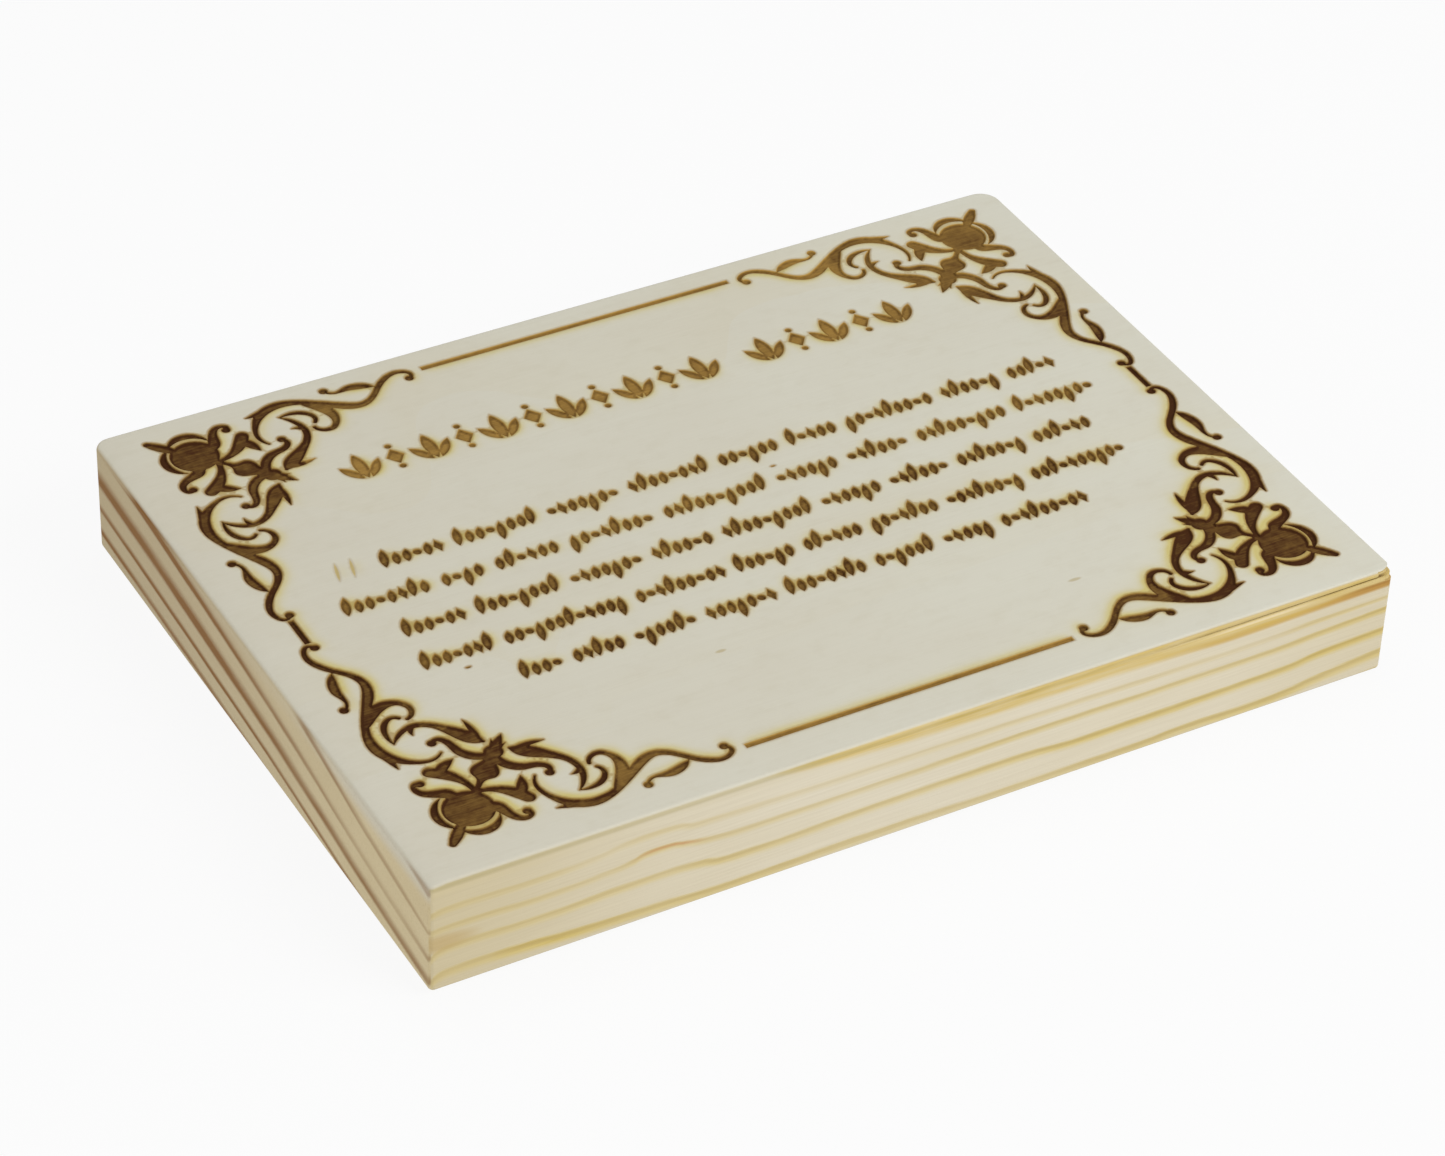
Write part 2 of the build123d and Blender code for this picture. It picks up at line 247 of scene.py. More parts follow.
def shell_mesh(points, triangles):
    """The shell as a bmesh, cut across so that its long flat sides have points along them."""
    used, renumbered = np.unique(triangles, return_inverse=True)
    shell = bmesh.new()
    corners = [shell.verts.new(p) for p in points[used]]
    for a, b, c in renumbered.reshape(-1, 3).tolist():
        shell.faces.new((corners[a], corners[b], corners[c]))
    bmesh.ops.dissolve_limit(shell, angle_limit=0.002, verts=shell.verts, edges=shell.edges)
    for axis in range(3):
        low, high = board_low[axis], board_high[axis]
        cuts = round((high - low) / side_step)
        for i in range(1, cuts):
            plane = Vector((0, 0, 0))
            plane[axis] = low + (high - low) * i / cuts
            normal = Vector((0, 0, 0))
            normal[axis] = 1
            everything = shell.verts[:] + shell.edges[:] + shell.faces[:]
            bmesh.ops.bisect_plane(shell, geom=everything, plane_co=plane, plane_no=normal, dist=1e-4)
    bmesh.ops.triangulate(shell, faces=shell.faces, quad_method="BEAUTY", ngon_method="BEAUTY")
    shell.verts.index_update()
    points = np.array([v.co for v in shell.verts])
    triangles = np.array([[v.index for v in f.verts] for f in shell.faces])
    shell.free()
    return points, triangles


def face_points(outlines, edge):
    """Where the face's own points go: rows beside each burn's outline, and grids between."""
    inner_rows = []
    outer_row = []
    for loop in outlines.loops:
        normals = towards_pocket(loop)
        outer_row.append(loop - normals * rim_width)
        chosen = np.zeros(len(loop), bool)
        for run in inner_runs:
            moved = loop + normals * run
            clear = (outlines.nearest(moved)[0] > 0.93 * run) & ~chosen
            inner_rows.append(moved[clear])
            chosen |= clear
    inner = spaced(np.concatenate(inner_rows), inner_gap)
    outer = np.concatenate(outer_row)
    outer = spaced(outer[outlines.nearest(outer)[0] > 0.85 * rim_width], outer_gap)
    low, high = edge.min(0) + edge_margin, edge.max(0) - edge_margin
    near = jittered_grid(low, high, near_step)
    away = outlines.nearest(near)[0]
    near = near[(away > burn_margin) & (away < near_reach)]
    field = jittered_grid(low, high, field_step)
    field = field[outlines.nearest(field)[0] >= near_reach]
    return np.concatenate([inner, outer, near, field])


def smoothstep(low, high, value):
    t = np.clip((value - low) / (high - low), 0, 1)
    return t * t * (3 - 2 * t)


def drift_noise(points, cell, seed):
    """Smooth noise from -1 to 1 over the plane, its cells stretched as cell says."""
    size = 64
    table = np.random.default_rng(seed).uniform(-1, 1, (size, size))
    at = points / np.array(cell)
    i = np.floor(at).astype(int)
    f = at - i
    f = f * f * (3 - 2 * f)

    def corner(dx, dy):
        return table[(i[:, 0] + dx) % size, (i[:, 1] + dy) % size]

    low = corner(0, 0) * (1 - f[:, 0]) + corner(1, 0) * f[:, 0]
    high = corner(0, 1) * (1 - f[:, 0]) + corner(1, 1) * f[:, 0]
    return low * (1 - f[:, 1]) + high * f[:, 1]


def smoke(points, triangles, burned):
    """How much burned wood lies around each point: a near and a wide measure."""
    cell = smoke_cell
    low = board_low[:2] - smoke_margin
    shape = np.ceil((board_high[:2] - board_low[:2] + 2 * smoke_margin) / cell).astype(int)
    a, b, c = points[triangles[burned]].transpose(1, 0, 2)
    area = 0.5 * np.abs((b - a)[:, 0] * (c - a)[:, 1] - (b - a)[:, 1] * (c - a)[:, 0])
    column, row = ((((a + b + c) / 3) - low) / cell).astype(int).T
    cover = np.zeros(shape)
    np.add.at(cover, (column, row), area / cell ** 2)
    frequency = np.fft.fftfreq(shape[0])[:, None] ** 2 + np.fft.rfftfreq(shape[1])[None, :] ** 2
    measures = []
    for spread in smoke_spreads:
        blur = np.exp(-2 * (math.pi * spread / cell) ** 2 * frequency)
        blurred = np.fft.irfft2(np.fft.rfft2(cover) * blur, s=tuple(shape))
        # the smoke drifts inwards from the ornaments
        at = (points * smoke_drift - low) / cell - 0.5
        i = np.clip(np.floor(at).astype(int), 0, shape - 2)
        f = np.clip(at - i, 0, 1)
        u, v = f.T
        x, y = i.T
        measures.append(blurred[x, y] * (1 - u) * (1 - v) + blurred[x + 1, y] * u * (1 - v)
                        + blurred[x, y + 1] * (1 - u) * v + blurred[x + 1, y + 1] * u * v)
    return measures


def burn_tone(points, depth, away):
    """How dark each burn is, from 0 golden to 1 dark brown."""
    x, y = points.T
    heading = (np.abs(y - heading_y) < heading_reach[1]) & (np.abs(x) < heading_reach[0])
    rows = (y > rows_span[0]) & (y < rows_span[1]) & (np.abs(x) < rows_reach)
    border = (np.abs(y) > border_low) & (np.abs(x) < border_reach)
    foot = (np.abs(y) > foot_low) & (np.abs(x) < foot_reach) & ~border
    # the far right ornament was burned lightest, most of all along its rims, and the near ones darkest
    far_right = smoothstep(-60, 80, x) * smoothstep(-20, 60, y)
    tone = ornament_tone - 0.12 * far_right + 0.1 * smoothstep(20, 80, x - y)
    tone -= (0.04 + 0.42 * far_right) * np.exp(-away / 0.5)
    tone[foot] -= 0.2
    tone[rows] = rows_tone + 0.1 * smoothstep(14, -26, y[rows])
    tone[heading] = heading_tone
    tone[border] = border_tone
    tone[depth < faint_depth] = -1.0
    tone = tone + 0.10 * drift_noise(points, (9.0, 5.0), 3) + 0.06 * drift_noise(points, (2.5, 0.7), 4)
    return np.clip(tone, 0, 1)      # the two faint marks are 0


def face_mesh(outlines, edge):
    """The engraved face inside the shell's open edge: points, triangles and what they know."""
    loop_points = np.concatenate(outlines.loops)
    first = np.cumsum([len(edge)] + [len(loop) for loop in outlines.loops])
    grid = face_points(outlines, edge)
    flat = np.concatenate([edge, loop_points, grid])
    regions = [list(range(len(edge)))]
    for start, loop in zip(first, outlines.loops):
        area = np.sum(loop[:, 0] * np.roll(loop[:, 1], -1) - np.roll(loop[:, 0], -1) * loop[:, 1])
        region = list(range(start, start + len(loop)))
        regions.append(region if area > 0 else region[::-1])
    made = delaunay_2d_cdt([Vector(p) for p in flat.tolist()], [], regions, 0, 1e-6, True)
    points, _, triangles, origins, _, inside = made
    points = np.array(points)
    within = np.array([0 in ids for ids in inside])
    burned = np.array([len(ids) % 2 == 0 for ids in inside])[within]
    triangles = np.array(triangles)[within]
    origin = np.array([min(ids, default=len(flat)) for ids in origins])
    on_edge = origin < len(edge)
    on_rim = ~on_edge & (origin < len(edge) + len(loop_points))
    in_burn = np.zeros(len(points), bool)
    in_burn[triangles[burned]] = True
    in_burn &= ~on_rim
    away, depth = outlines.nearest(points)
    away[on_rim] = 0
    ripple = floor_ripple * drift_noise(points, (3.1, 0.8), 1) * (depth > faint_depth)
    floor = depth - rim_drop + ripple
    fall = np.minimum(away / wall_run, 1)
    z = np.where(in_burn, -rim_drop - (floor - rim_drop) * fall,
                 -rim_drop * np.clip(1 - away / rim_width, 0, 1) ** 2)
    z[on_edge] = 0
    near_smoke, wide_smoke = smoke(points, triangles, burned)
    facts = {
        "burn_edge": np.where(in_burn, -away, away),
        "burn_tone": burn_tone(points, depth, away),
        "smoke_near": near_smoke,
        "smoke_wide": wide_smoke,
    }
    solid = np.column_stack([points, face_z + z])
    return solid, triangles, np.where(on_edge, origin, -1), facts


def soften_left_arris(points):
    """The left short side's top edge was sanded rounder than the others."""
    reach = 3.2
    drop = 0.6
    near = np.clip(1 - (points[:, 0] - left_x) / reach, 0, 1) ** 2
    points[:, 2] -= drop * near * smoothstep(face_z - 5, face_z - 0.5, points[:, 2])


def engraved_board():
    """The whole board as one closed mesh: the CAD shell, and its burned face drawn finely."""
    points, triangles, outlines = split_cad_board()
    shell_points, shell_triangles = shell_mesh(points, triangles)
    edge = max(open_loops(shell_triangles), key=len)[::-1]
    face, face_triangles, edge_place, facts = face_mesh(outlines, shell_points[edge][:, :2])
    number = np.where(edge_place >= 0, np.array(edge)[edge_place], 0)
    fresh = edge_place < 0
    number[fresh] = len(shell_points) + np.arange(fresh.sum())
    solid = np.concatenate([shell_points, face[fresh]])
    soften_left_arris(solid)
    mesh = bpy.data.meshes.new("engraved_board")
    mesh.from_pydata(solid * MM, [], np.concatenate([shell_triangles, number[face_triangles]]).tolist())
    for name, values in facts.items():
        whole = np.full(len(solid), far_from_burns if name == "burn_edge" else 0.0)
        whole[number] = values
        mesh.attributes.new(name, "FLOAT", "POINT").data.foreach_set("value", whole)
    mesh.set_sharp_from_angle(angle=sharp_angle)
    return mesh


# ---- Shader building ----

class Field:
    """A number or a vector worked out by shader nodes. Arithmetic on it adds the nodes."""

    def __init__(self, socket):
        self.socket = socket

    def __add__(self, other):
        return maths("ADD", self, other)

    def __sub__(self, other):
        return maths("SUBTRACT", self, other)

    def __rsub__(self, other):
        return maths("SUBTRACT", other, self)

    def __mul__(self, other):
        return maths("MULTIPLY", self, other)

    def __truediv__(self, other):
        return maths("DIVIDE", self, other)

    def __pow__(self, other):
        return maths("POWER", self, other)

    __radd__ = __add__
    __rmul__ = __mul__


def feed(socket, value):
    if isinstance(value, Field):
        socket.id_data.links.new(value.socket, socket)
    else:
        socket.default_value = value


def maths(operation, *values):
    tree = next(v for v in values if isinstance(v, Field)).socket.id_data
    node = tree.nodes.new("ShaderNodeMath")
    node.operation = operation
    for socket, value in zip(node.inputs, values):
        feed(socket, value)
    return Field(node.outputs[0])


def clamped(value):
    return maths("MINIMUM", maths("MAXIMUM", value, 0.0), 1.0)


def ramped(value, low, high):
    """0 up to low and 1 from high, smooth between. Low may be above high, which turns it round."""
    if low > high:
        return 1 - ramped(value, high, low)
    node = value.socket.id_data.nodes.new("ShaderNodeMapRange")
    node.interpolation_type = "SMOOTHSTEP"
    feed(node.inputs["Value"], value)
    node.inputs["From Min"].default_value = low
    node.inputs["From Max"].default_value = high
    return Field(node.outputs[0])


def curved(value, places):
    """A smooth curve through (value, result) places."""
    lows = [min(p[i] for p in places) for i in (0, 1)]
    spans = [max(max(p[i] for p in places) - lows[i], 1e-6) for i in (0, 1)]
    node = value.socket.id_data.nodes.new("ShaderNodeFloatCurve")
    curve = node.mapping.curves[0]
    while len(curve.points) < len(places):
        curve.points.new(0.5, 0.5)
    for point, place in zip(curve.points, sorted(places)):
        point.location = [(place[i] - lows[i]) / spans[i] for i in (0, 1)]
    node.mapping.update()
    feed(node.inputs["Value"], (value - lows[0]) / spans[0])
    return Field(node.outputs[0]) * spans[1] + lows[1]


def colour(red, green, blue):
    """An sRGB colour, 0 to 255, as the linear one that a socket holds."""
    linear = [((c / 255 + 0.055) / 1.055) ** 2.4 if c > 10 else c / 255 / 12.92 for c in (red, green, blue)]
    return (*linear, 1.0)


class Finish:
    """One node material around a Principled shader."""

    def __init__(self, name):
        self.material = bpy.data.materials.new(name)
        self.material.use_nodes = True
        self.tree = self.material.node_tree
        self.shader = self.tree.nodes["Principled BSDF"]
        place = self.tree.nodes.new("ShaderNodeTexCoord")
        scaled = self.tree.nodes.new("ShaderNodeVectorMath")
        scaled.operation = "SCALE"
        scaled.inputs["Scale"].default_value = 1 / MM
        self.tree.links.new(place.outputs["Object"], scaled.inputs[0])
        self.x, self.y, self.z = self.split(Field(scaled.outputs[0]))
        self.nx, self.ny, self.nz = self.split(Field(place.outputs["Normal"]))

    def split(self, vector):
        node = self.tree.nodes.new("ShaderNodeSeparateXYZ")
        feed(node.inputs[0], vector)
        return [Field(output) for output in node.outputs]

    def joined(self, x, y, z):
        node = self.tree.nodes.new("ShaderNodeCombineXYZ")
        for socket, value in zip(node.inputs, (x, y, z)):
            feed(socket, value)
        return Field(node.outputs[0])

    def fact(self, name):
        """A number kept on the mesh's points."""
        node = self.tree.nodes.new("ShaderNodeAttribute")
        node.attribute_name = name
        return Field(node.outputs["Fac"])

    def noise(self, size, detail=2.0, roughness=0.5, seed=0.0, at=None):
        """Noise from -1 to 1 whose grains measure size along x, y and z."""
        x, y, z = at or (self.x, self.y, self.z)
        node = self.tree.nodes.new("ShaderNodeTexNoise")
        feed(node.inputs["Vector"], self.joined(x / size[0] + seed, y / size[1], z / size[2]))
        node.inputs["Scale"].default_value = 1.0
        node.inputs["Detail"].default_value = detail
        node.inputs["Roughness"].default_value = roughness
        return (Field(node.outputs["Fac"]) - 0.5) * 2.0

    def mixed(self, base, other, share):
        """The base colour with a share of the other."""
        node = self.tree.nodes.new("ShaderNodeMix")
        node.data_type = "RGBA"
        sockets = {socket.identifier: socket for socket in node.inputs}
        feed(sockets["Factor_Float"], share)
        feed(sockets["A_Color"], base)
        feed(sockets["B_Color"], other)
        return Field(next(socket for socket in node.outputs if socket.identifier == "Result_Color"))

    def relief(self, height):
        """Bump from a height in millimetres."""
        node = self.tree.nodes.new("ShaderNodeBump")
        node.inputs["Distance"].default_value = MM
        feed(node.inputs["Height"], height)
        self.tree.links.new(node.outputs["Normal"], self.shader.inputs["Normal"])

    def set(self, **values):
        for name, value in values.items():
            feed(self.shader.inputs[name.replace("_", " ")], value)
        return self.material


# ---- Pine ----

long_pale = colour(214, 206, 186)
long_warm = colour(208, 198, 172)
long_dark = colour(197, 184, 150)
latewood_gold = colour(203, 178, 76)
latewood_olive = colour(154, 128, 78)
knot_red = colour(190, 120, 70)
back_pale = colour(214, 205, 183)
back_warm = colour(206, 194, 164)
back_line = colour(186, 150, 86)
resin_pale = colour(205, 180, 110)
resin_deep = colour(188, 150, 56)
resin_orange = colour(170, 122, 52)
upper_olive = colour(172, 150, 78)
# painted highlight along the split's lower lip
strip_olive = colour(160, 136, 84)
lip_highlight = colour(232, 216, 178)
# painted shade inside the split and along its opening
lower_brown = colour(150, 100, 40)
split_shade = colour(104, 70, 30)
end_pale = colour(204, 189, 152)
end_warm = colour(194, 177, 138)
end_dark = colour(166, 150, 120)
end_sanded = colour(198, 194, 180)
end_line = colour(126, 85, 34)
end_pore = colour(128, 100, 64)
face_pale = colour(203, 201, 187)
face_warm = colour(198, 193, 177)
face_grain = colour(196, 184, 150)
face_mottle = colour(182, 174, 150)
face_fleck = colour(176, 164, 132)
resin_spot = colour(168, 150, 104)
smoke_stain = colour(193, 179, 116)
scorch_brown = colour(142, 108, 46)
burn_golden = colour(170, 134, 66)
burn_dark = colour(64, 34, 8)
burn_faint = colour(184, 170, 122)
crease_olive = colour(166, 154, 108)
smudge_brown = colour(182, 154, 96)
fibre_brown = colour(128, 104, 66)

# The growth rings rise from the near side to the far one, the upper ones more steeply. A ring's place
# is its height over the back at the near side; a latewood line lies at each whole ring number.
ring_places = [(-18.0, -1), (-13.0, 0), (-8.6, 1), (-4.2, 2), (-1.0, 3), (2.8, 4), (7.7, 5), (11.9, 6),
               (15.65, 7), (20.0, 8), (27.0, 9), (34.0, 10)]
ring_rise = 11.8                # over the board's width, of a ring at the back
ring_fan = 0.55                 # how much more a ring rises for each millimetre of its place
rise_share = [(-65, 0.0), (-43, 0.19), (-23, 0.41), (-3, 0.6), (17, 0.74), (37, 0.86), (65, 1.0)]
ring_gap = 5.0
# at four heights, along the board: how far the rings wave up and down, and how strong the line is
ring_rows = [
    (2.8, [(-90, -1.3), (-86, 0.8), (-78, 0.7), (-66, 0.0), (-50, -0.6), (-32, -1.25), (-12, -0.85),
           (15, -1.1), (40, -1.25), (51, -0.75), (60, -0.95), (66, -0.85), (76, 0.1), (90, 1.4)],
     [(-90, 0.4), (-80, 0.5), (-70, 0.8), (-58, 0.66), (-40, 0.7), (-15, 0.55), (15, 0.5), (45, 0.66),
      (65, 0.72), (80, 0.68), (90, 0.74)]),
    (7.7, [(-90, -1.5), (-86, 0.7), (-70, 0.35), (-52, 0.9), (-42, 0.4), (-33, -0.6), (-10, 0.0),
           (15, 0.15), (30, -0.6), (62, -0.45), (69, -0.25), (77, 0.55), (90, 1.0)],
     [(-90, 0.3), (-80, 0.42), (-60, 0.45), (-50, 0.42), (-40, 0.6), (-10, 0.5), (15, 0.7), (45, 0.75),
      (65, 0.68), (80, 0.78), (90, 0.7)]),
    (11.9, [(-90, 0.0), (-86, 0.7), (-70, 0.25), (-60, 0.65), (-54, 1.4), (-50, 2.1), (-46, 1.6),
            (-40, 0.65), (-32, 0.25), (-5, 0.35), (20, 0.55), (40, 0.4), (60, 0.35), (78, 0.9), (90, 1.3)],
     [(-90, 0.3), (-72, 0.34), (-60, 0.28), (-50, 0.54), (-43, 0.44), (-20, 0.36), (0, 0.46), (15, 0.56),
      (45, 0.48), (62, 0.52), (78, 0.62), (90, 0.78)]),
    (15.65, [(-90, -0.3), (-86, 0.7), (-70, 0.45), (-62, 0.7), (-55, 1.7), (-50, 1.85), (-44, 0.9),
            (-36, 0.6), (0, 0.1), (30, -0.1), (60, -0.5), (78, -0.1), (90, -0.1)],
     [(-90, 0.3), (-70, 0.3), (-60, 0.16), (-50, 0.3), (-30, 0.2), (0, 0.28), (15, 0.32), (45, 0.3),
      (65, 0.18), (76, 0.42), (90, 0.22)]),
]
# above and below those, by ring number
outer_strength = [(-1, 0.9), (3, 0.9), (4, 1.0), (7, 1.0), (8, 0.2), (9, 0.6)]
end_strength = [(1.0, 0.8), (1.7, 0.7), (2.0, 0.85), (3.0, 0.95), (4.0, 1.0), (4.8, 0.95), (5.2, 0.8),
                (5.5, 0.75), (5.75, 0.42), (6.1, 0.38), (6.5, 0.8), (6.7, 0.75), (6.9, 0.52), (7.2, 0.5),
                (7.6, 0.0), (8.7, 0.0), (9.2, 0.5), (10.0, 0.5)]
# how wide a line is at the ends and along the long sides, by ring number
end_width = [(2.6, 0.62), (3.6, 0.62), (3.8, 1.0), (4.6, 1.0), (4.8, 0.7), (5.6, 0.7), (5.8, 0.85),
             (8.0, 0.85)]
long_width = [(2.0, 1.4), (3.97, 1.4), (4.05, 1.0), (8.0, 1.0)]
# the lower edge of the broad golden band under the near top edge, over the back
band_foot = [(-90, 26.0), (-40, 23.0), (-30, 21.0), (-24, 20.1), (-10, 19.1), (0, 18.7), (30, 18.3),
             (44, 17.9), (50, 17.7), (57, 17.5), (75, 17.8), (90, 18.0)]
# how far the long sides' wood darkens towards the ends
end_share = [(-90, 0.95), (-78, 0.78), (-60, 0.45), (-40, 0.18), (-15, 0.0), (50, 0.06), (72, 0.32),
             (90, 0.48)]
# heights over the back of the marks under the near top edge, from the top
strip_height = 21.35
crease_height = 20.95
upper_line = 20.6
split_height = 20.46            # at its open end
lip_height = 19.75
lower_line = 19.05
smudge_place = (-89.0, 9.6)     # along the board, and over the back
smudge_size = (9.0, 2.2)
knot_x = -48.0                  # the rings bulge here, and are redder
fine_ring_count = 5.0           # fine rings within each broad one
resin_spots = [(-22.0, -34.0, 1.3, 0.5), (40.0, -43.7, 1.6, 0.5)]    # x, y, length and width


class Rings:
    """The growth rings at each point of the wood."""

    def __init__(self, wood):
        self.height = wood.z - back_z
        share = curved(wood.y, rise_share)
        warp = wood.noise((46.0, 30.0, 24.0), 1.0) * 0.3 + wood.noise((12.0, 9.0, 7.0), 1.0, seed=7.0) * 0.12
        level = (self.height - share * ring_rise + warp) / (1.0 + share * ring_fan)
        row_height, waves, strengths = ring_rows[0]
        wave = curved(wood.x, waves)
        strength = curved(wood.x, strengths)
        for next_height, waves, strengths in ring_rows[1:]:
            turn = ramped(level - wave, row_height + 0.8, next_height - 0.8)
            wave = wave + (curved(wood.x, waves) - wave) * turn
            strength = strength + (curved(wood.x, strengths) - strength) * turn
            row_height = next_height
        number = curved(level - wave, ring_places)
        self.number = number
        drift = 1.0 + wood.noise((24.0, 14.0, 3.0), 2.0, seed=3.0) * 0.3
        self.long_strength = strength * curved(number, outer_strength) * drift
        # the ends' lines are stronger towards the far side
        self.end_strength = curved(number - wood.y * 0.02, end_strength) * drift
        self.end_strength = self.end_strength * (0.95 + ramped(wood.y, -12.0, 20.0) * 0.3)
        self.end_width = curved(number, end_width)
        self.long_width = curved(number, long_width)
        self.below = maths("FRACT", 0.0 - number) * ring_gap
        self.above = maths("FRACT", number) * ring_gap
        # the golden band is part of the near side's outermost wood
        self.over_foot = self.height - share * ring_rise * 1.6 - curved(wood.x, band_foot) + warp * 0.6


def long_grain(wood, rings, cloud):
    """The long sides: golden latewood bands, each with an olive line along its top."""
    toward_end = curved(wood.x, end_share)
    base = wood.mixed(long_pale, long_warm, clamped(cloud * 0.5 + 0.35))
    base = wood.mixed(base, long_dark, toward_end)
    ragged = wood.noise((5.0, 5.0, 0.5), 2.0, 0.6, seed=47.0) * 0.2
    ragged = ragged + wood.noise((11.0, 11.0, 0.18), 3.0, 0.7, seed=53.0) * 0.35
    below = rings.below / rings.long_width + ragged
    above = rings.above + ragged
    band = ramped(below, 1.9, 0.5) + ramped(above, 0.9, 0.1)
    shown = wood.mixed(base, latewood_gold, clamped(band * rings.long_strength * 0.85))
    line = ramped(below, 0.85, 0.05) + ramped(above, 0.6, 0.0)
    shown = wood.mixed(shown, latewood_olive, clamped(line * rings.long_strength * 0.5))
    knotty = ramped(maths("ABSOLUTE", wood.x - knot_x), 8.0, 2.0) * ramped(rings.height, 12.2, 12.8)
    knotty = knotty * ramped(rings.height, 15.6, 14.6) * line
    return wood.mixed(shown, knot_red, clamped(knotty * 0.45))


def back_grain(wood, rings, cloud):
    """The back cuts the wood at a slant, so the fine rings within each broad one show as slow waves."""
    fine_rings = rings.number * fine_ring_count + wood.noise((80.0, 18.0, 10.0), 2.0, seed=83.0) * 1.2
    before = maths("FRACT", 0.0 - fine_rings)
    line = ramped(before, 0.36, 0.03) + ramped(before, 0.95, 1.0)
    drift = wood.noise((50.0, 9.0, 5.0), 2.0, seed=89.0)
    base = wood.mixed(back_pale, back_warm, clamped(cloud * 0.5 + 0.4))
    return wood.mixed(base, back_line, clamped(line * (0.5 + drift * 0.3)))


def golden_band(wood, rings, shown):
    """The broad resinous band under the near top edge, olive over the split and orange under it."""
    over = rings.over_foot
    near_side = ramped(wood.y, near_y + 12.0, near_y + 5.0)
    starts = ramped(wood.x, -38.0, -22.0) * near_side
    band = ramped(over, -0.6, 0.9) * starts
    patchy = wood.noise((7.0, 4.0, 0.8), 2.0, seed=51.0)
    fine = wood.noise((40.0, 6.0, 0.28), 2.0, 0.6, seed=57.0)
    shown = wood.mixed(shown, resin_pale, clamped(band * (0.82 + patchy * 0.3 + fine * 0.4)))
    toward_right = ramped(wood.x, 38.0, 60.0) * near_side
    hot = ramped(over, 1.7, 0.6) * ramped(over, -0.4, 0.35) * toward_right
    shown = wood.mixed(shown, resin_deep, hot * 0.6)
    shown = wood.mixed(shown, resin_orange, hot * ramped(wood.x, 68.0, 88.0) * 0.75)
    upper = ramped(maths("ABSOLUTE", rings.height - upper_line + fine * 0.12), 0.6, 0.1)
    upper = upper * ramped(wood.x, -30.0, -8.0) * near_side * (1.0 - ramped(wood.x, 14.0, 30.0) * 0.3)
    shown = wood.mixed(shown, upper_olive, clamped(upper * (0.45 + patchy * 0.4)))
    strip = ramped(maths("ABSOLUTE", rings.height - strip_height), 0.22, 0.06) * ramped(wood.x, 2.0, 16.0)
    shown = wood.mixed(shown, strip_olive, strip * near_side * 0.4)
    # a pale line along the split's lower lip, a painted highlight
    lip = ramped(maths("ABSOLUTE", rings.height - lip_height + fine * 0.1), 0.4, 0.1) * near_side
    lip = lip * ramped(wood.x, 48.0, 60.0) * ramped(wood.x, 78.0, 66.0)
    shown = wood.mixed(shown, lip_highlight, lip * 0.75)
    lower = ramped(maths("ABSOLUTE", rings.height - lower_line + fine * 0.12), 0.45, 0.1)
    shown = wood.mixed(shown, lower_brown, lower * ramped(wood.x, 76.0, 86.0) * near_side * 0.6)

    # the split's inside is darkened with painted shade, and a painted shadow draws the dark line along its
    # opening
    off_split = maths("ABSOLUTE", rings.height - split_height + fine * 0.05)
    inside = ramped(wood.y, near_y + 0.04, near_y + 0.14) * ramped(off_split, 0.5, 0.3)
    mouth = ramped(off_split, 0.35, 0.06) * ramped(wood.x, 34.0, 56.0)
    dark = (inside * 0.7 + mouth * (0.2 + patchy * 0.4)) * near_side
    dark = dark * ramped(wood.x, 89.0, 87.0) * ramped(wood.x, 30.0, 40.0)
    return wood.mixed(shown, split_shade, clamped(dark))


def end_grain(wood, rings, cloud):
    """The short sides: brown lines, sharp below and fading out upwards, on wood paler near the face."""
    base = wood.mixed(end_pale, end_warm, clamped(cloud * 0.6 + 0.45))
    base = wood.mixed(base, end_dark, ramped(wood.y, -60.0, 50.0) * 0.63)
    sanded = ramped(wood.y, -8.0, -45.0) * 0.6 + ramped(wood.y, 50.0, -5.0) * 0.15
    base = wood.mixed(base, end_sanded, ramped(rings.height, 17.0, 20.4) * sanded)
    ragged = wood.noise((1.0, 1.4, 0.14), 3.0, 0.7, seed=73.0) * 0.3
    line = ramped(rings.above / rings.end_width + ragged, 2.5, 0.1)
    line = line + ramped(rings.below / rings.end_width + ragged, 1.15, 0.0)
    faded = ramped(wood.y, 44.0, 52.0) + ramped(wood.y, -22.0, -14.0) * ramped(wood.y, 24.0, 14.0)
    leaving = ramped(rings.height, 19.7, 20.5) * faded
    line = line * rings.end_strength * (1.0 - leaving * 0.8)
    shown = wood.mixed(base, end_line, clamped(line * 0.97))
    pores = wood.noise((0.35, 0.35, 0.35), 2.0, 0.6, seed=61.0)
    return wood.mixed(shown, end_pore, clamped(pores * 0.5 - 0.05))


def engraved_face(wood, rings, cloud):
    """The face is sanded pale, with only a breath of the grain; a few resin flecks and scratches."""
    warmth = clamped(cloud * 0.5 + 0.5 - wood.x * 0.004)
    base = wood.mixed(face_pale, face_warm, warmth)
    band = ramped(rings.below, 1.9, 0.1) * rings.long_strength
    shown = wood.mixed(base, face_grain, clamped(band * 0.2))
    mottle = wood.noise((4.0, 2.5, 2.0), 3.0, 0.6, seed=65.0)
    shown = wood.mixed(shown, face_mottle, clamped(mottle * 0.3))
    fleck = wood.noise((6.0, 0.5, 1.0), 2.0, 0.7, seed=67.0)
    shown = wood.mixed(shown, face_fleck, ramped(fleck, 0.42, 0.75) * 0.35)
    for x, y, length, width in resin_spots:
        across = ((wood.x - x) / length) ** 2.0 + ((wood.y - y) / width) ** 2.0
        shown = wood.mixed(shown, resin_spot, ramped(across, 1.0, 0.1) * 0.6)
    return shown


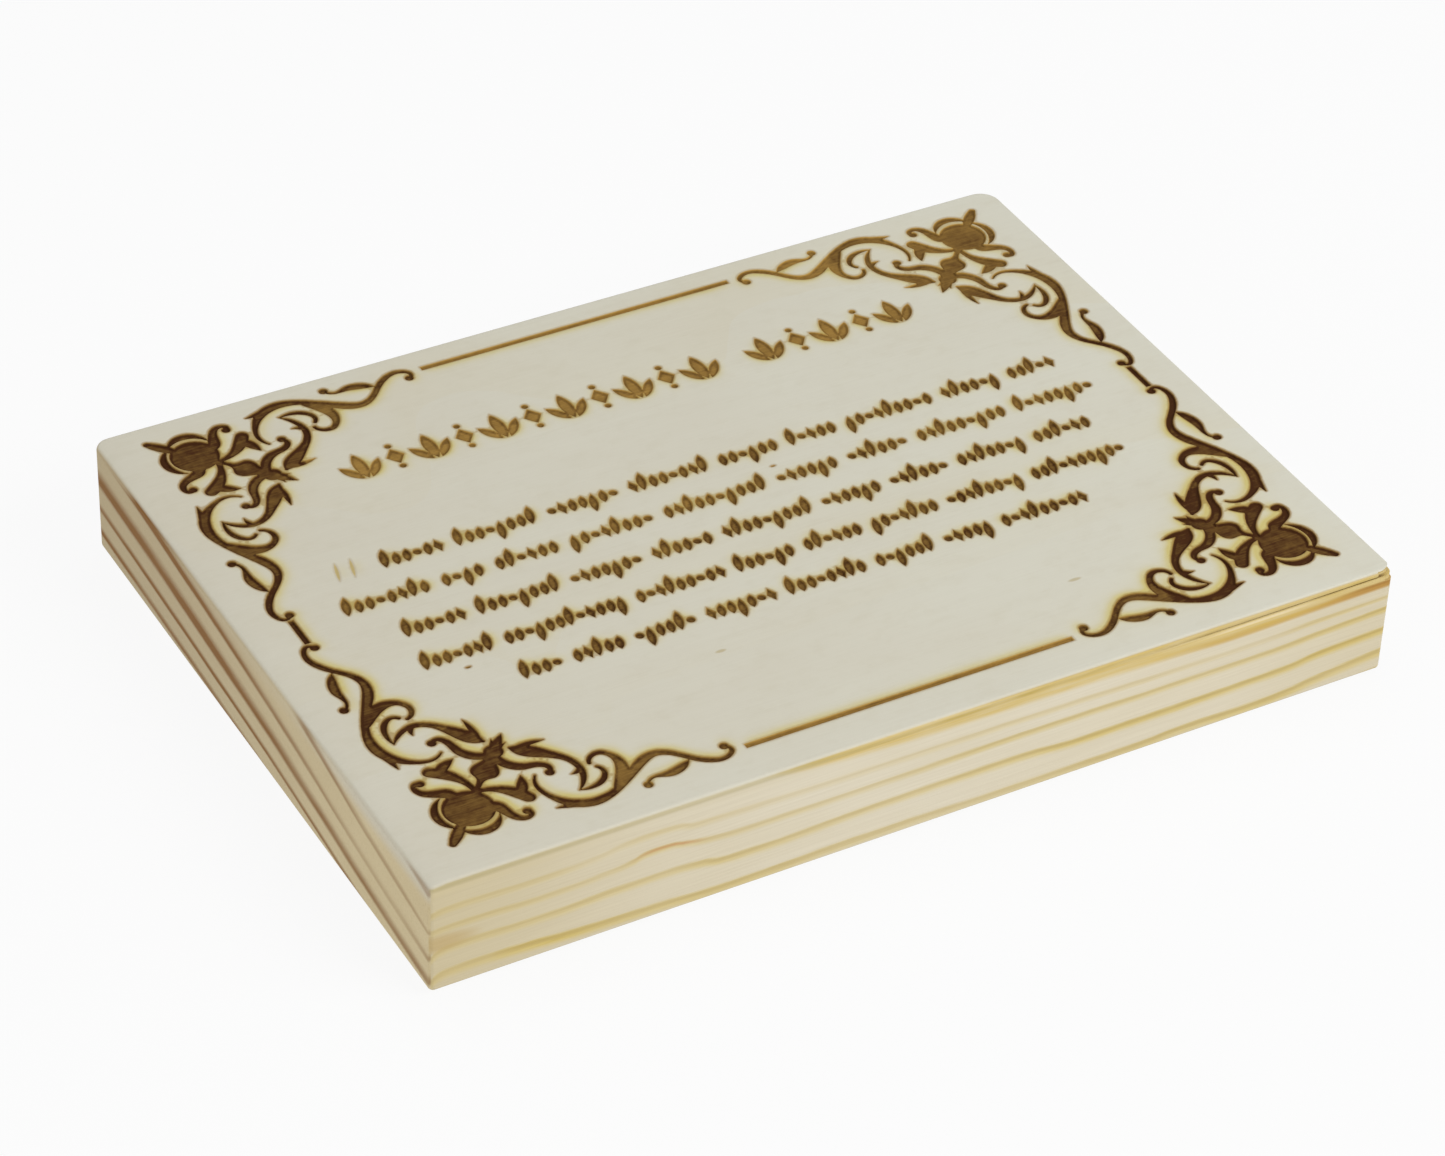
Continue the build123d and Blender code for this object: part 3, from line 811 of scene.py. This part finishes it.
def scorched(wood, shown, in_burn):
    """Smoke stain on the face around the burns, their golden rims with a painted highlight, and the burned
    floors with painted shade at the foot of the walls.
    """
    edge = wood.fact("burn_edge")
    tone = wood.fact("burn_tone")
    near_smoke = wood.fact("smoke_near")
    haze = wood.noise((3.0, 2.0, 2.0), 2.0) * 0.3 + 1.0
    # the far ornaments are stained least, and the near right one furthest out
    at_ends = ramped(maths("ABSOLUTE", wood.x), 42.0, 60.0)
    to_right = ramped(wood.x, 0.0, 60.0)
    near_share = 1.0 - ramped(wood.y, 0.0, 35.0) * at_ends * (0.3 + to_right * 0.2)
    wide_share = to_right * ramped(wood.y, 0.0, -40.0) * 0.4 + 0.1
    stain = (near_smoke * 1.5) ** 1.35 * near_share + wood.fact("smoke_wide") * wide_share
    shown = wood.mixed(shown, smoke_stain, clamped(stain * haze))
    ragged = edge + wood.noise((0.8, 0.8, 0.8), 2.0, 0.6, seed=71.0) * 0.12
    scorch = ramped(ragged, 0.5, 0.02) * clamped(tone * 0.7 + 0.3)
    shown = wood.mixed(shown, scorch_brown, scorch * 0.85)
    streak = wood.noise((5.0, 0.35, 0.35), 3.0, 0.65, seed=31.0)
    blotch = wood.noise((1.6, 1.6, 1.0), 2.0, 0.6, seed=37.0)
    # painted shade darkens a band at the foot of each burn's walls, and a painted highlight pales the walls
    # up to the rim
    outline = ramped(edge, -0.7, -0.35) * ramped(edge, -0.05, -0.2)
    rim = ramped(edge, -0.22, -0.02)
    depth_tone = clamped(tone + streak * 0.22 + blotch * 0.18 + outline * 0.2 - rim * 0.25)
    burn = wood.mixed(burn_golden, burn_dark, depth_tone)
    burn = wood.mixed(burn, burn_faint, ramped(tone, 0.1, 0.02) * 0.75)
    return wood.mixed(shown, burn, in_burn)


def pine():
    wood = Finish("pine")
    rings = Rings(wood)
    cloud = wood.noise((30.0, 18.0, 9.0), 2.0, seed=23.0)
    fibre = wood.noise((26.0, 0.34, 0.34), 3.0, 0.6, seed=11.0)
    hair = wood.noise((9.0, 0.12, 0.12), 2.0, 0.5, seed=19.0)

    # which side of the board this is; the ledge in the worn corner isn't part of the face
    at_end = ramped(maths("ABSOLUTE", wood.nx), 0.55, 0.85)
    on_face = ramped(wood.nz, 0.35, 0.9) * ramped(wood.z, face_z - 1.2, face_z - 0.9)
    shown = golden_band(wood, rings, long_grain(wood, rings, cloud))
    shown = wood.mixed(shown, end_grain(wood, rings, cloud), at_end)
    shown = wood.mixed(shown, back_grain(wood, rings, cloud), ramped(wood.nz, -0.5, -0.9))

    # a soft dark crease along the near top edge, left of the golden band, and a smudge by the corner
    near_side = ramped(wood.ny, -0.2, -0.6)
    crease = ramped(maths("ABSOLUTE", rings.height - crease_height - hair * 0.12), 0.95, 0.1)
    crease = crease * near_side * ramped(wood.x, -8.0, -26.0)
    shown = wood.mixed(shown, crease_olive, crease * (0.5 + cloud * 0.15))
    smudge = ((wood.x - smudge_place[0]) / smudge_size[0]) ** 2.0
    smudge = smudge + ((rings.height - smudge_place[1]) / smudge_size[1]) ** 2.0
    shown = wood.mixed(shown, smudge_brown, ramped(smudge, 1.0, 0.0) * near_side * 0.6)

    shown = wood.mixed(shown, engraved_face(wood, rings, cloud), on_face)
    grain = clamped(fibre * 0.9 + 0.35) * 0.12 + clamped(hair * 0.9 + 0.35) * 0.07
    shown = wood.mixed(shown, fibre_brown, grain * (1.0 - on_face * 0.6))
    in_burn = ramped(wood.fact("burn_edge"), 0.05, -0.06)
    shown = scorched(wood, shown, in_burn)

    relief = fibre * 0.012 + hair * 0.008 + wood.noise((0.5, 0.5, 0.5), 3.0, seed=41.0) * 0.006
    char = wood.noise((1.2, 0.3, 0.3), 3.0, 0.6, seed=43.0)
    wood.relief(relief + char * 0.035 * in_burn)
    return wood.set(Base_Color=shown, Roughness=0.62 + in_burn * 0.2, Specular_IOR_Level=0.12)


# ---- Hardware and pads ----

def zinc(name, tint, rough):
    """Zinc plated steel, brushed along the plate."""
    metal = Finish(name)
    brushed = metal.noise((0.05, 4.0, 1.0), 3.0, 0.6, seed=5.0)
    patch = metal.noise((5.0, 7.0, 5.0), 3.0, 0.6, seed=13.0)
    shade = metal.mixed(tint, colour(150, 146, 136), clamped(patch * 0.5 + 0.3))
    metal.relief(brushed * 0.004 + patch * 0.01)
    return metal.set(Base_Color=shade, Metallic=1.0, Roughness=rough + patch * 0.08 + brushed * 0.05)


def felt():
    wool = Finish("felt")
    tuft = wool.noise((0.7, 0.7, 0.7), 4.0, 0.65)
    fleck = wool.noise((0.15, 0.6, 0.3), 2.0, 0.6, seed=9.0)
    shade = wool.mixed(colour(92, 76, 60), colour(58, 46, 36), clamped(tuft * 0.8 + 0.5))
    shade = wool.mixed(shade, colour(128, 110, 90), clamped(fleck * 0.9 - 0.25))
    wool.relief(tuft * 0.05 + fleck * 0.04)
    return wool.set(Base_Color=shade, Roughness=0.95, Sheen_Weight=0.3, Sheen_Roughness=0.6)


def felt_pad(node):
    """A punched felt disc: uneven fuzzy rim, slightly crushed under side."""
    low, high = [np.array(corner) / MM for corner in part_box(node)]
    centre = (low + high) / 2
    radius = (high[0] - low[0]) / 2
    rings, spokes, layers = 22, 120, 6
    angles = np.arange(spokes) / spokes * 2 * math.pi
    profile = [(radius * (i / rings), high[2]) for i in range(1, rings)]
    profile += [(radius, high[2] - (high[2] - low[2]) * i / layers) for i in range(layers + 1)]
    profile += [(radius * (i / rings), low[2]) for i in range(rings - 1, 0, -1)]
    points = [(*centre[:2], high[2])]
    for r, z in profile:
        points += [(centre[0] + r * math.cos(a), centre[1] + r * math.sin(a), z) for a in angles]
    points.append((*centre[:2], low[2]))
    last = len(points) - 1
    faces = [(0, 1 + i, 1 + (i + 1) % spokes) for i in range(spokes)]
    for row in range(len(profile) - 1):
        start = 1 + row * spokes
        for i in range(spokes):
            j = (i + 1) % spokes
            faces.append((start + i, start + spokes + i, start + spokes + j, start + j))
    start = last - spokes
    faces += [(start + i, last, start + (i + 1) % spokes) for i in range(spokes)]
    solid = np.array(points)
    fuzz = random.uniform(0, 1, len(solid))
    out = solid[:, :2] - centre[:2]
    share = np.hypot(*out.T) / radius
    shrink = 1 - share ** 6 * (0.02 + 0.035 * fuzz)
    solid[:, :2] = centre[:2] + out * shrink[:, None]
    middle = (low[2] + high[2]) / 2
    dent = 0.03 + 0.05 * random.uniform(0, 1, len(solid)) + 0.16 * share ** 8
    solid[:, 2] = middle + (solid[:, 2] - middle) * (1 - dent * (solid[:, 2] < middle))
    mesh = bpy.data.meshes.new(node)
    mesh.from_pydata(solid * MM, [], faces)
    mesh.shade_smooth()
    return mesh


def new_piece(name, mesh, node, material):
    """A mesh that stands for a CAD node and rides with it."""
    piece = bpy.data.objects.new(name, mesh)
    bpy.context.scene.collection.objects.link(piece)
    mesh.materials.append(material)
    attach(piece, "root")
    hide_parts(node)
    return piece


def finish_node(node, material):
    """A CAD node keeps its shape and gets its material and slightly broken edges."""
    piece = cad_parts[node]
    piece.data.materials.clear()
    piece.data.materials.append(material)
    weld = piece.modifiers.new("weld", "WELD")
    weld.merge_threshold = 0.001 * MM
    bevel = piece.modifiers.new("bevel", "BEVEL")
    bevel.width = 0.12 * MM
    bevel.segments = 2
    bevel.limit_method = "ANGLE"
    bevel.angle_limit = math.radians(50)
    bevel.harden_normals = True


new_piece("engraved_board", engraved_board(), "plaque_board", pine())
finish_node("keyhole_plate", zinc("plate_zinc", colour(196, 196, 198), 0.34))
screw_zinc = zinc("screw_zinc", colour(205, 202, 190), 0.28)
for place in ("lower", "upper"):
    finish_node(f"plate_screw_{place}", screw_zinc)
felt_finish = felt()
for row in ("bottom", "top"):
    for side in ("left", "right"):
        node = f"felt_pad_{row}_{side}"
        pad = new_piece(f"wool_pad_{row}_{side}", felt_pad(node), node, felt_finish)


# ---- Floor, light and camera ----

floor_glow = 0.905
wall_glow = 0.965


def glowing(name, points, faces, base, glow):
    """An object of the studio that shines white by itself, and its shader."""
    mesh = bpy.data.meshes.new(name)
    mesh.from_pydata(points, [], faces)
    made = bpy.data.objects.new(name, mesh)
    bpy.context.scene.collection.objects.link(made)
    material = bpy.data.materials.new(name)
    material.use_nodes = True
    shader = material.node_tree.nodes["Principled BSDF"]
    shader.inputs["Base Color"].default_value = base
    shader.inputs["Specular IOR Level"].default_value = 0.0
    shader.inputs["Emission Color"].default_value = (1, 1, 1, 1)
    shader.inputs["Emission Strength"].default_value = glow
    mesh.materials.append(material)
    return made, shader


def studio_floor():
    size = 3.0
    corners = [(-size, -size, 0), (size, -size, 0), (size, size, 0), (-size, size, 0)]
    floor, shader = glowing("floor", corners, [(0, 1, 2, 3)], (0.06, 0.06, 0.06, 1), floor_glow)
    shader.inputs["Roughness"].default_value = 1.0


def backdrop():
    """A white wall round the floor, for views from low down. Only the camera sees it."""
    radius, height, sides = 2.9, 2.0, 48
    rim = [(radius * math.cos(a), radius * math.sin(a)) for a in np.arange(sides) / sides * 2 * math.pi]
    points = [(x, y, z) for z in (0, height) for x, y in rim]
    faces = [(i, (i + 1) % sides, sides + (i + 1) % sides, sides + i) for i in range(sides)]
    wall, _ = glowing("backdrop", points, faces, (0, 0, 0, 1), wall_glow)
    wall.visible_diffuse = False
    wall.visible_glossy = False
    wall.visible_shadow = False


def softbox(name, place, size, power, warmth):
    light = bpy.data.lights.new(name, "AREA")
    light.shape = "RECTANGLE"
    light.size, light.size_y = size
    light.energy = power
    light.color = warmth
    lamp = bpy.data.objects.new(name, light)
    bpy.context.scene.collection.objects.link(lamp)
    lamp.location = place
    lamp.rotation_euler = (-Vector(place)).to_track_quat("-Z", "Y").to_euler()


def studio_light():
    world = bpy.data.worlds.new("studio")
    bpy.context.scene.world = world
    world.use_nodes = True
    sky = world.node_tree.nodes["Background"]
    sky.inputs["Color"].default_value = (0.97, 0.985, 1.0, 1)
    sky.inputs["Strength"].default_value = 0.42
    softbox("key", (0.55, -0.75, 0.75), (0.8, 0.6), 9.0, (1.0, 0.985, 0.96))
    softbox("top", (0.1, 0.3, 1.1), (0.9, 0.9), 4.0, (0.97, 0.985, 1.0))
    softbox("side", (-1.0, -0.35, 0.35), (0.7, 0.6), 3.4, (1.0, 0.99, 0.97))
    bpy.context.scene.view_settings.view_transform = "Standard"


def photo_camera():
    """A long lens above the near left corner, turned a little about its own axis."""
    azimuth, elevation, roll = [math.radians(a) for a in (-30.479, 37.42, 2.346)]
    distance = 827.9 * MM
    target = Vector((2.05, 7.27, back_z)) * MM
    back = Vector((math.sin(azimuth) * math.cos(elevation), -math.cos(azimuth) * math.cos(elevation),
                   math.sin(elevation)))
    data = bpy.data.cameras.new("camera")
    data.sensor_width = 36.0
    data.lens = 119.06
    data.clip_start = 0.01
    camera = bpy.data.objects.new("camera", data)
    bpy.context.scene.collection.objects.link(camera)
    level = (-back).to_track_quat("-Z", "Y").to_matrix().to_4x4()
    camera.matrix_world = Matrix.Translation(target + back * distance) @ level @ Matrix.Rotation(roll, 4, "Z")
    bpy.context.scene.camera = camera


studio_floor()
backdrop()
studio_light()
photo_camera()
